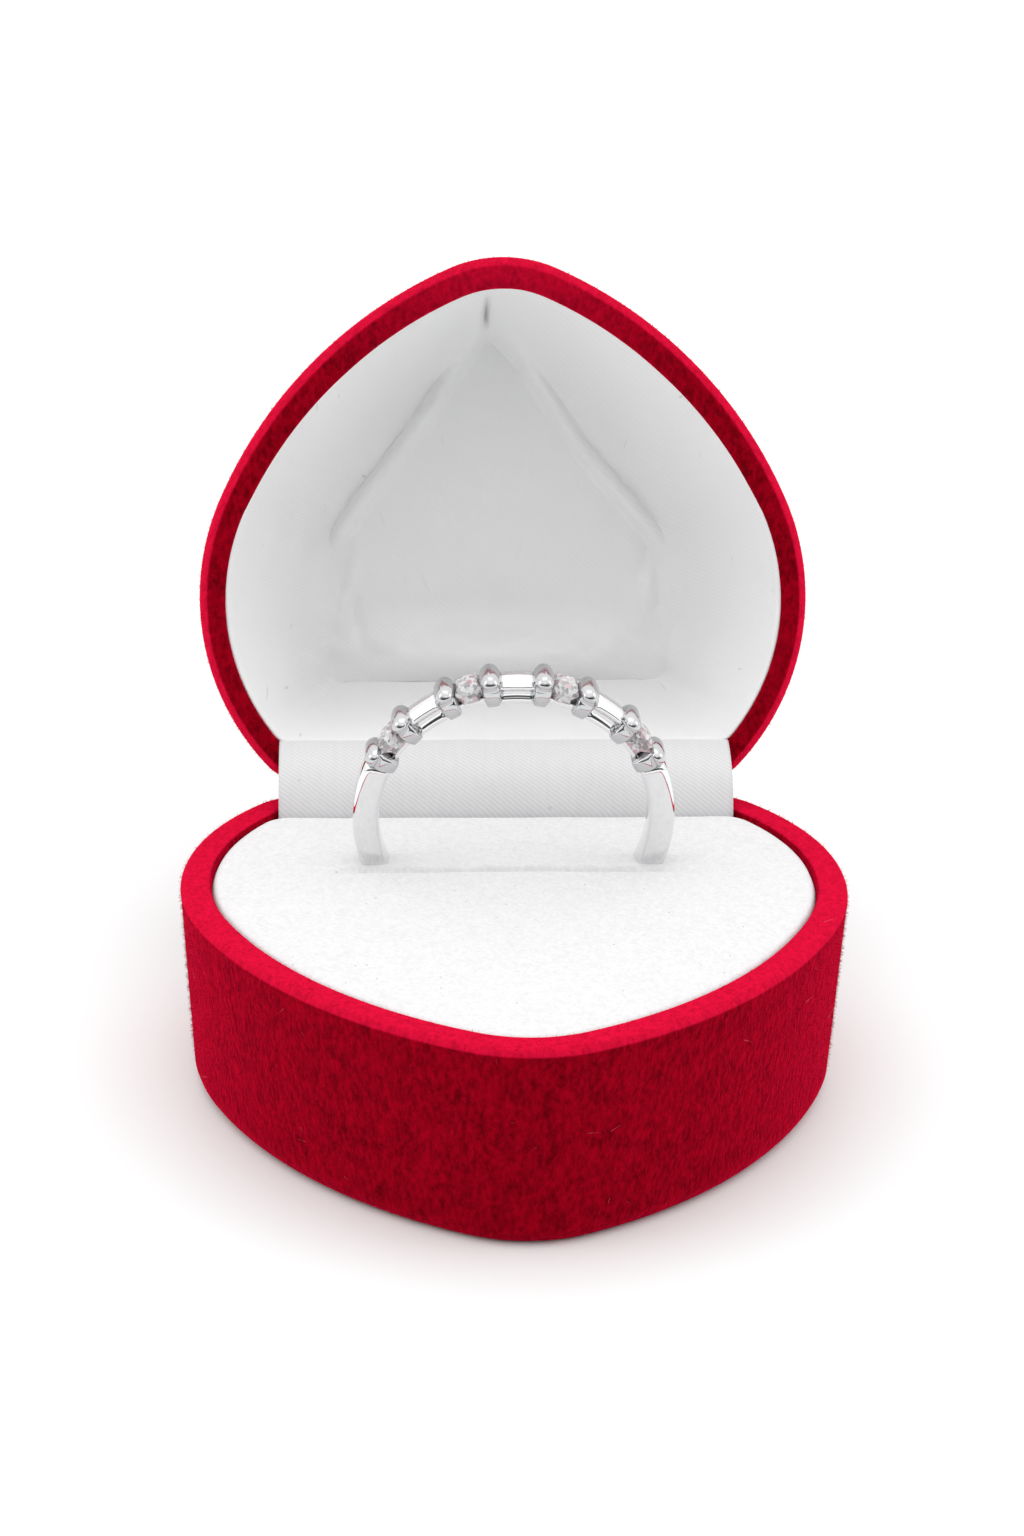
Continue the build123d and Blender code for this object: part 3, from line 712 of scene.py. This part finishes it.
# folds of the cloth: start, end, width and how far each stands towards the ring (+) or away (-)
folds = (
    ((-0.6, 34.5), (-7.4, 24.6), 0.5, 1.25), ((-7.4, 24.6), (-12.2, 18.2), 0.55, 1.1),
    ((0.2, 34.5), (7.0, 24.6), 0.5, 1.1), ((7.0, 24.6), (12.8, 17.8), 0.55, 1.1),
    ((-2.4, 33.2), (-9.6, 25.8), 1.1, -0.7), ((2.4, 33.0), (9.4, 25.0), 1.2, -0.7),
    ((-13.0, 18.4), (-13.4, 8.2), 0.7, 0.45), ((13.2, 18.2), (13.7, 8.0), 0.7, 0.45),
    ((-11.0, 7.3), (11.6, 7.5), 0.6, -0.5), ((-6.5, 9.2), (7.5, 9.4), 1.9, 1.3),
    ((-0.9, 36.0), (-0.9, 34.4), 0.32, -1.7), ((0.6, 36.2), (2.2, 35.4), 0.4, 0.5),
    ((-3.5, 31.0), (-5.5, 26.5), 0.4, 0.3), ((-14.2, 21.5), (-15.2, 15.5), 0.6, 0.5),
    ((-10.4, 17.6), (-11.6, 12.0), 0.45, 0.45), ((11.2, 12.0), (12.0, 16.5), 0.5, 0.4),
    ((-11.4, 20.0), (-13.8, 17.0), 0.7, -0.5), ((-11.2, 14.6), (-10.2, 10.6), 0.6, -0.4),
    ((11.0, 19.5), (12.2, 15.0), 0.9, -0.4), ((-14.5, 6.5), (-17.2, 10.2), 0.7, 0.5),
    ((14.2, 6.5), (17.2, 10.2), 0.7, 0.5), ((-17.6, 16.0), (-16.4, 19.5), 0.4, 0.4),
    ((-4.6, 11.2), (-1.6, 10.4), 0.5, 0.35), ((0.8, 10.3), (3.6, 11.0), 0.45, 0.3),
)


# soft waves of the cloth: height, layer of the noise, scale; the crumple keeps to lobes and low edge
puffs = ((0.40, 3, 0.14), (0.20, 7, 0.36))
crumple = (0.16, 11, 0.95)


def liningRelief(x, s):
    x, s = x / mm, s / mm
    relief = sum(height * crease(x, s, start, end, width) for start, end, width, height in folds)
    puff = sum(height * noise.noise(Vector((x, s, layer)) * scale) for height, layer, scale in puffs)
    lobe = math.exp(-((abs(x) - 12.5) / 3.0) ** 2) + 0.8 * math.exp(-((s - 9.5) / 2.2) ** 2)
    height, layer, scale = crumple
    puff += height * min(1.0, lobe) * noise.noise(Vector((x, s, layer)) * scale)
    head = lining["head"]
    near = math.exp(-((s - head["place"]) / head["along"]) ** 2 - (x / head["across"]) ** 4)
    room = (lining["deepest"] - lining["depth"]) / mm
    return ((relief + puff) * (1 - near) - room * near) * mm


def ceilingShares(mouth, middleY):
    corners = [(x * mm, axisY - s * mm) for x, s in lining["ceiling"]]
    shares = []
    for x, y in mouth:
        best = 0.5
        for (ax, ay), (bx, by) in zip(corners, corners[1:] + corners[:1]):
            dx, dy, ex, ey = x, y - middleY, bx - ax, by - ay
            cross = dx * ey - dy * ex
            if abs(cross) > 1e-12:
                t = (ax * ey - (ay - middleY) * ex) / cross
                u = (ax * dy - (ay - middleY) * dx) / cross
                if t > 0 and -1e-6 <= u <= 1 + 1e-6:
                    best = t
        shares.append(min(best, lining["mostShare"]))
    for _ in range(3):  # soften the corners
        shares = [(before + 2 * here + after) / 4
                  for before, here, after in zip(shares[-1:] + shares[:-1], shares, shares[1:] + shares[:1])]
    return shares


def makeLining():
    s = lining
    mouthInset = lidSkin["step"] + lidSkin["rim"] - s["gap"]
    mouth = heartRing(mouthInset, rearWall + padBackGap)
    count = len(mouth)
    middleY = axisY - s["middle"]
    ceiling = ceilingShares(mouth, middleY)
    points, uv, pinched = [], [], []
    rings = s["rings"]
    for k in range(rings):
        t = k / rings  # 0 at the mouth, 1 in the middle of the ceiling
        wall = min(1.0, t / s["wallShare"])
        for (x, y), edge in zip(mouth, ceiling):
            inward = 1 - (1 - edge) * wall if wall < 1 else edge * (1 - t) / (1 - s["wallShare"])
            bow = s["wallBow"]
            depth = s["depth"] * (bow * math.sin(0.5 * math.pi * wall) + (1 - bow) * wall)
            px, py = x * inward, middleY + (y - middleY) * inward
            place = axisY - py
            depth -= liningRelief(px, place) * min(1.0, t / s["reliefFrom"])
            depth -= s["hem"]["height"] * math.exp(-((t - s["hem"]["place"]) / s["hem"]["width"]) ** 2)
            points.append((px, py, lidPlane + s["low"] + min(max(depth, 0.0), s["deepest"])))
            uv.append((px + (x - px) * wall * s["pull"], place))
            # mask for the painted shade along the pinched fold
            pinched.append(crease(px / mm, place / mm, *s["pinch"]))
    pinched.append(0.0)
    points.append((0, middleY, lidPlane + s["low"] + s["depth"] - liningRelief(0, s["middle"])))
    uv.append((0, s["middle"]))
    faces = loftFaces(rings, count) + fanFaces((rings - 1) * count, count, len(points) - 1)
    piece = newPiece("satinLining", swingOpen(points), faces, liningSatin, uv=uv,
                     masks=dict(pinched=pinched))
    thicken(piece, s["thick"], -1.0)
    finishPiece(piece, "lid", "white_satin", "satin_lining")


makeLining()
print("lining ready")


# the satin strip across the hinge
strip = dict(half=16.1 * mm, foot=(35.62 * mm, 11.7 * mm), turn=(35.60 * mm, 13.9 * mm), rows=40, columns=120,
             bulge=1.0 * mm, thick=0.16 * mm, length=10.6 * mm, tuckShare=0.15, clothLength=9.0 * mm,
             lidGap=0.1 * mm, tuckIn=0.3 * mm, tuckDeep=2.2 * mm,
             ripples=((0.14 * mm, 0.22, 1.3, 5), (0.05 * mm, 0.7, 3.0, 9)))


def openPlace(fromAxisY, fromAxisZ):
    return swingOpen([(0, axisY + fromAxisY, axisZ + fromAxisZ)])[0][1:]


def makeStrip():
    s = strip
    shiftY = heart["length"] / 2
    foot = np.array([s["foot"][0] - shiftY, s["foot"][1]])
    turn = np.array([s["turn"][0] - shiftY, s["turn"][1]])
    mouthY = -(axisY - (shiftY - rearWall - padBackGap))
    lidEdge = openPlace(mouthY - s["lidGap"], s["lidGap"])
    tuck = openPlace(mouthY - s["tuckIn"], s["tuckDeep"])
    share = s["tuckShare"]
    points, uv = [], []
    bulgeWay = np.array([-(lidEdge - turn)[1], (lidEdge - turn)[0]])
    bulgeWay /= np.linalg.norm(bulgeWay)
    for j in range(s["rows"] + 1):
        v = j / s["rows"]
        if v < share:
            spot = foot + (turn - foot) * v / share
        elif v < 1 - share:
            t = (v - share) / (1 - 2 * share)
            spot = turn + (lidEdge - turn) * t + bulgeWay * s["bulge"] * math.sin(math.pi * t) ** 0.8
        else:
            spot = lidEdge + (tuck - lidEdge) * (v - (1 - share)) / share
        for i in range(s["columns"] + 1):
            u = -1 + 2 * i / s["columns"]
            x = u * s["half"]
            ripple = sum(height * noise.noise(Vector((x / mm * across, v * along, layer)))
                         for height, across, along, layer in s["ripples"])
            ripple *= math.sin(math.pi * v)
            away = bulgeWay * ripple
            points.append((x, spot[0] + away[0], spot[1] + away[1]))
            uv.append((x, v * s["clothLength"]))
    row = s["columns"] + 1
    faces = [(j * row + i, j * row + i + 1, (j + 1) * row + i + 1, (j + 1) * row + i)
             for j in range(s["rows"]) for i in range(s["columns"])]
    piece = newPiece("satinStrip", points, faces, stripSatin, uv=uv)
    recalculate(piece)
    thicken(piece, s["thick"], 0.0)
    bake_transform(piece)
    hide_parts("satin_gusset")


makeStrip()
print("strip ready")


# repeated things, placed or grown by geometry nodes

class GeometryTree(Tree):
    def __init__(self, name, inputs):
        super().__init__(bpy.data.node_groups.new(name, "GeometryNodeTree"))
        face = self.tree.interface
        face.new_socket(name="Geometry", in_out="INPUT", socket_type="NodeSocketGeometry")
        for label, kind, value in inputs:
            socket = face.new_socket(name=label, in_out="INPUT", socket_type=kind)
            if value is not None:
                socket.default_value = value
        face.new_socket(name="Geometry", in_out="OUTPUT", socket_type="NodeSocketGeometry")
        self.given = self.node("NodeGroupInput").outputs
        self.result = self.node("NodeGroupOutput").inputs

    def close(self, instances):
        real = self.node("GeometryNodeRealizeInstances", {0: instances})
        values = {"Geometry": real.outputs[0], "Material": self.given["Finish"]}
        finish = self.node("GeometryNodeSetMaterial", values)
        self.tree.links.new(finish.outputs[0], self.result[0])
        return self.tree


def growNodes(piece, tree, values):
    grow = piece.modifiers.new("grow", "NODES")
    grow.node_group = tree
    for item in tree.interface.items_tree:
        if item.in_out == "INPUT" and item.name in values:
            grow[item.identifier] = values[item.name]
    piece.data.update()
    bakeModifiers(piece)


def buildPlacingTree():
    inputs = (("Pattern", "NodeSocketObject", None), ("Finish", "NodeSocketMaterial", None))
    tree = GeometryTree("piecesOnPoints", inputs)
    pattern = tree.node("GeometryNodeObjectInfo", {"Object": tree.given["Pattern"]})
    turn = tree.node("GeometryNodeInputNamedAttribute", {"Name": "turn"}, data_type="FLOAT_VECTOR")
    spots = tree.node("GeometryNodeMeshToPoints", {"Mesh": tree.given["Geometry"]})
    values = {"Points": spots.outputs[0], "Instance": pattern.outputs["Geometry"],
              "Rotation": turn.outputs["Attribute"]}
    made = tree.node("GeometryNodeInstanceOnPoints", values)
    return tree.close(made.outputs[0])


halfTurn = 3.1  # the fibres spin by up to this on their own axis
fibreHeights = (0.5, 1.2)  # the shortest and the tallest, as shares of the length


def buildFibreTree():
    inputs = (("Crowd", "NodeSocketFloat", 4e6), ("Length", "NodeSocketFloat", 0.0003),
              ("Radius", "NodeSocketFloat", 0.000012), ("Lean", "NodeSocketFloat", 0.7),
              ("Seed", "NodeSocketInt", 3), ("Finish", "NodeSocketMaterial", None))
    tree = GeometryTree("napFibres", inputs)
    g = tree.given
    values = {"Mesh": g["Geometry"], "Density": g["Crowd"], "Seed": g["Seed"]}
    spots = tree.node("GeometryNodeDistributePointsOnFaces", values)
    values = {"Vertices": 3, "Radius Bottom": g["Radius"], "Depth": g["Length"]}
    cone = tree.node("GeometryNodeMeshCone", values, fill_type="NONE")
    low = tree.math("MULTIPLY", g["Lean"], -1.0)
    lean = tree.node("FunctionNodeRandomValue", data_type="FLOAT_VECTOR")
    tops = tree.node("ShaderNodeCombineXYZ", {0: g["Lean"], 1: g["Lean"], 2: halfTurn})
    lows = tree.node("ShaderNodeCombineXYZ", {0: low, 1: low, 2: -halfTurn})
    tree.tree.links.new(lows.outputs[0], lean.inputs[0])
    tree.tree.links.new(tops.outputs[0], lean.inputs[1])
    tree.tree.links.new(g["Seed"], lean.inputs["Seed"])
    values = {"Rotation": spots.outputs["Rotation"], "Rotate By": lean.outputs[0]}
    turned = tree.node("FunctionNodeRotateEuler", values, space="LOCAL")
    tall = tree.node("FunctionNodeRandomValue", {"Seed": g["Seed"]}, data_type="FLOAT")
    tall.inputs[2].default_value, tall.inputs[3].default_value = fibreHeights
    values = {"Points": spots.outputs[0], "Instance": cone.outputs[0],
              "Rotation": turned.outputs[0], "Scale": tall.outputs[1]}
    made = tree.node("GeometryNodeInstanceOnPoints", values)
    return tree.close(made.outputs[0])


placingTree, fibreTree = buildPlacingTree(), buildFibreTree()


# the ring
ring = dict(centre=(0.0, 27.0 * mm, 17.9 * mm), lean=7.2, outer=10.9 * mm, inner=9.1 * mm, rail=9.55 * mm,
            half=1.08 * mm, railHalf=0.62 * mm, bars=(9.8, 26.9, 46.5, 63.0), headEnd=65.5, headFade=0.6,
            steps=300, around=28, power=5.0)


def ringPlace(points):
    c, s = math.cos(math.radians(ring["lean"])), math.sin(math.radians(ring["lean"]))
    points = np.asarray(points, float)
    y = points[:, 1] * c - points[:, 2] * s + ring["centre"][1] - heart["length"] / 2
    z = points[:, 1] * s + points[:, 2] * c + ring["centre"][2]
    return np.stack([points[:, 0], y, z], 1)


def squircle(halfA, halfB, power, count):
    made = []
    for i in range(count):
        turn = 2 * math.pi * i / count
        c, s = math.cos(turn), math.sin(turn)
        a = halfA * math.copysign(abs(c) ** (2 / power), c)
        b = halfB * math.copysign(abs(s) ** (2 / power), s)
        made.append((a, b))
    return made


def makeShank():
    steps, around = ring["steps"], ring["around"]
    points = []
    for k in range(steps):
        angle = -180 + 360 * k / steps
        turn = math.radians(angle)
        head = 1 / (1 + math.exp((abs(angle) - ring["headEnd"]) / ring["headFade"]))
        outer = ring["outer"] + (ring["rail"] - ring["outer"]) * head
        half = ring["half"] + (ring["railHalf"] - ring["half"]) * head
        middle, thick = (outer + ring["inner"]) / 2, (outer - ring["inner"]) / 2
        for a, b in squircle(thick, half, ring["power"], around):
            r = middle + a
            points.append((r * math.sin(turn), b, r * math.cos(turn)))
    piece = newPiece("ringShank", ringPlace(points), loftFaces(steps, around, closeLoop=True), whiteGold)
    recalculate(piece)
    finishPiece(piece, "base", "white_gold", "ring_shank")


# these three forms are in millimetres
barForm = dict(outer=11.2, dome=0.68, width=1.46, thick=0.76, lip=0.10, domePower=2.5, shieldPower=4.5,
               around=28, domeTurns=(-25, 0, 18, 36, 54, 70, 82),
               shield=((8.92, 0.34, 0.92), (8.98, 0.48, 1.06), (9.2, 0.54, 1.20), (9.5, 0.60, 1.32),
                       (9.8, 0.64, 1.36), (10.12, 0.67, 1.30), (10.42, 0.68, 1.15)))
linkForm = dict(section=((-1.06, 9.15), (-0.78, 9.40), (-0.66, 9.75), (-0.80, 10.00), (-1.06, 10.12),
                         (-1.12, 10.24), (-1.08, 10.40), (-0.96, 10.46), (-0.84, 10.42), (-0.76, 10.50),
                         (-0.60, 10.66), (-0.30, 10.74), (0.0, 10.76)), length=2.3, steps=6)
stoneForm = dict(levels=((10.86, 0.55), (10.70, 0.82), (10.48, 0.99), (10.38, 1.0), (9.85, 0.86),
                         (9.42, 0.66)),
                 halfAlong=0.86, halfAcross=1.04, around=12)


def makeBarPattern():
    b = barForm
    levels = [(r, t, w, b["shieldPower"]) for r, t, w in b["shield"]]
    seat = b["outer"] - b["dome"]
    for turn in b["domeTurns"]:
        c, up = math.cos(math.radians(turn)), math.sin(math.radians(turn))
        height = seat + (b["dome"] if turn > 0 else b["lip"]) * up
        levels.append((height, b["thick"] * c, b["width"] - b["thick"] * (1 - c), b["domePower"]))
    count = b["around"]
    points = [(a * mm, c * mm, r * mm) for r, t, w, power in levels for a, c in squircle(t, w, power, count)]
    points += [(0, 0, levels[0][0] * mm), (0, 0, b["outer"] * mm)]
    faces = loftFaces(len(levels), count) + fanFaces(0, count, len(points) - 2)
    faces += fanFaces((len(levels) - 1) * count, count, len(points) - 1)
    return patternPiece("barPattern", points, faces, True)


def makeLinkPattern():
    half = list(linkForm["section"])
    section = half + [(-y, r) for y, r in reversed(half[:-1])]
    steps = linkForm["steps"]
    points = []
    for k in range(steps + 1):
        x = linkForm["length"] * (k / steps - 0.5)
        for y, r in section:
            points.append((x * mm, y * mm, (math.sqrt(r * r - x * x)) * mm))
    count = len(section)
    faces = loftFaces(steps + 1, count)
    faces += [tuple(range(count)), tuple(reversed(range(steps * count, (steps + 1) * count)))]
    return patternPiece("linkPattern", points, faces, True)


def makeStonePattern():
    f = stoneForm
    points, count = [], f["around"]
    for level, (r, share) in enumerate(f["levels"]):
        for i in range(count):
            turn = 2 * math.pi * (i + 0.5 * (level % 2)) / count
            c, up = math.cos(turn), math.sin(turn)
            square = share / max(abs(c), abs(up))  # onto a square outline
            points.append((f["halfAlong"] * c * square * mm, f["halfAcross"] * up * square * mm, r * mm))
    faces = []
    for level in range(len(f["levels"]) - 1):
        a, b = level * count, (level + 1) * count
        for i in range(count):
            j = (i + 1) % count
            if level % 2:
                faces += [(a + i, a + j, b + j), (a + i, b + j, b + i)]
            else:
                faces += [(a + i, a + j, b + i), (a + j, b + j, b + i)]
    last = (len(f["levels"]) - 1) * count
    faces += [tuple(range(count)), tuple(last + count - 1 - i for i in range(count))]
    return patternPiece("stonePattern", points, faces, False)


def patternPiece(name, points, faces, smooth):
    piece = newPiece(name, points, faces, whiteGold, smooth)
    recalculate(piece)
    return piece


def placeOnRing(name, pattern, angles, finish, slotName, nodeName):
    mesh = bpy.data.meshes.new(name)
    mesh.from_pydata([(0, 0, 0)] * len(angles), [], [])
    turn = mesh.attributes.new("turn", "FLOAT_VECTOR", "POINT")
    for i, angle in enumerate(angles):
        turn.data[i].vector = (0, math.radians(angle), 0)
    piece = addObject(name, mesh)
    growNodes(piece, placingTree, {"Pattern": pattern, "Finish": finish})
    bpy.data.objects.remove(pattern)
    co = np.zeros(len(piece.data.vertices) * 3)
    piece.data.vertices.foreach_get("co", co)
    piece.data.vertices.foreach_set("co", ringPlace(co.reshape(-1, 3)).ravel())
    piece.data.update()
    nodes = [f"{nodeName}_{i + 1}" for i in range(len(angles))]
    finishPiece(piece, "base", slotName, *nodes)


def makeRing():
    makeShank()
    angles = [-a for a in reversed(ring["bars"])] + list(ring["bars"])
    middles = [(a + b) / 2 for a, b in zip(angles[:-1], angles[1:])]
    placeOnRing("ringBars", makeBarPattern(), angles, barGold, "white_gold", "ring_bar")
    placeOnRing("ringLinks", makeLinkPattern(), middles[1::2], whiteGold, "white_gold", "ring_link")
    placeOnRing("ringStones", makeStonePattern(), middles[0::2], clearStone, "clear_stone", "ring_stone")


makeRing()
print("ring ready")


# the nap's fibres and the stray lint
fibreLooks = dict(
    nap=dict(crowd=1.0e7, length=0.26 * mm, radius=0.014 * mm, lean=0.8, seed=4),
    lint=dict(crowd=2.2e4, length=0.9 * mm, radius=0.007 * mm, lean=1.45, seed=11),
)
heartDepth = 8 * mm
fibreHearts = dict(base=Vector((0, 0, baseTop - heartDepth)),
                   lid=Vector(swingOpen([(0, 0, lidPlane + heartDepth)])[0]))
leastOutward = 0.5 * mm
lowestFibre = 1.3 * mm


# only faces that look outwards grow fibres, and none so low that they reach the floor
def growFibres(name, source, look, finish, body):
    work = bmesh.new()
    work.from_mesh(source.data)
    hidden = [face for face in work.faces
              if face.normal.dot(face.calc_center_median() - fibreHearts[body]) < leastOutward
              or min(vert.co.z for vert in face.verts) < lowestFibre]
    bmesh.ops.delete(work, geom=hidden, context="FACES")
    mesh = bpy.data.meshes.new(name)
    work.to_mesh(mesh)
    work.free()
    piece = addObject(name, mesh)
    values = {"Crowd": look["crowd"], "Length": look["length"], "Radius": look["radius"],
              "Lean": look["lean"], "Seed": look["seed"], "Finish": finish}
    growNodes(piece, fibreTree, values)
    finishPiece(piece, body, "red_flock")


growFibres("baseNapFibres", baseVelvet, fibreLooks["nap"], crimsonNap, "base")
growFibres("lidNapFibres", lidVelvet, fibreLooks["nap"], crimsonNap, "lid")
growFibres("baseLint", baseVelvet, fibreLooks["lint"], lintFibre, "base")
print("fibres ready")


# finishes of the CAD pieces that are seen, or seen when the lid moves
cadFinishes = {
    mouldedPlastic: ("base_shell", "lid_shell"), bottomFlock: ("bottom_sheet",),
    greyCard: ("pad_card", "lid_lining_card"), openFoam: ("foam_core", "lid_wadding"),
    hingeSteel: ("lower_hinge_leaf", "upper_hinge_leaf"), springSteel: ("snap_spring",),
    tackSteel: ("hinge_pin", "snap_spring_rivet", "lower_leaf_tacks", "upper_leaf_tacks"),
}
for finish, nodes in cadFinishes.items():
    for node in nodes:
        slots = frame["nodes"][node].data.materials
        slots.clear()
        slots.append(finish)
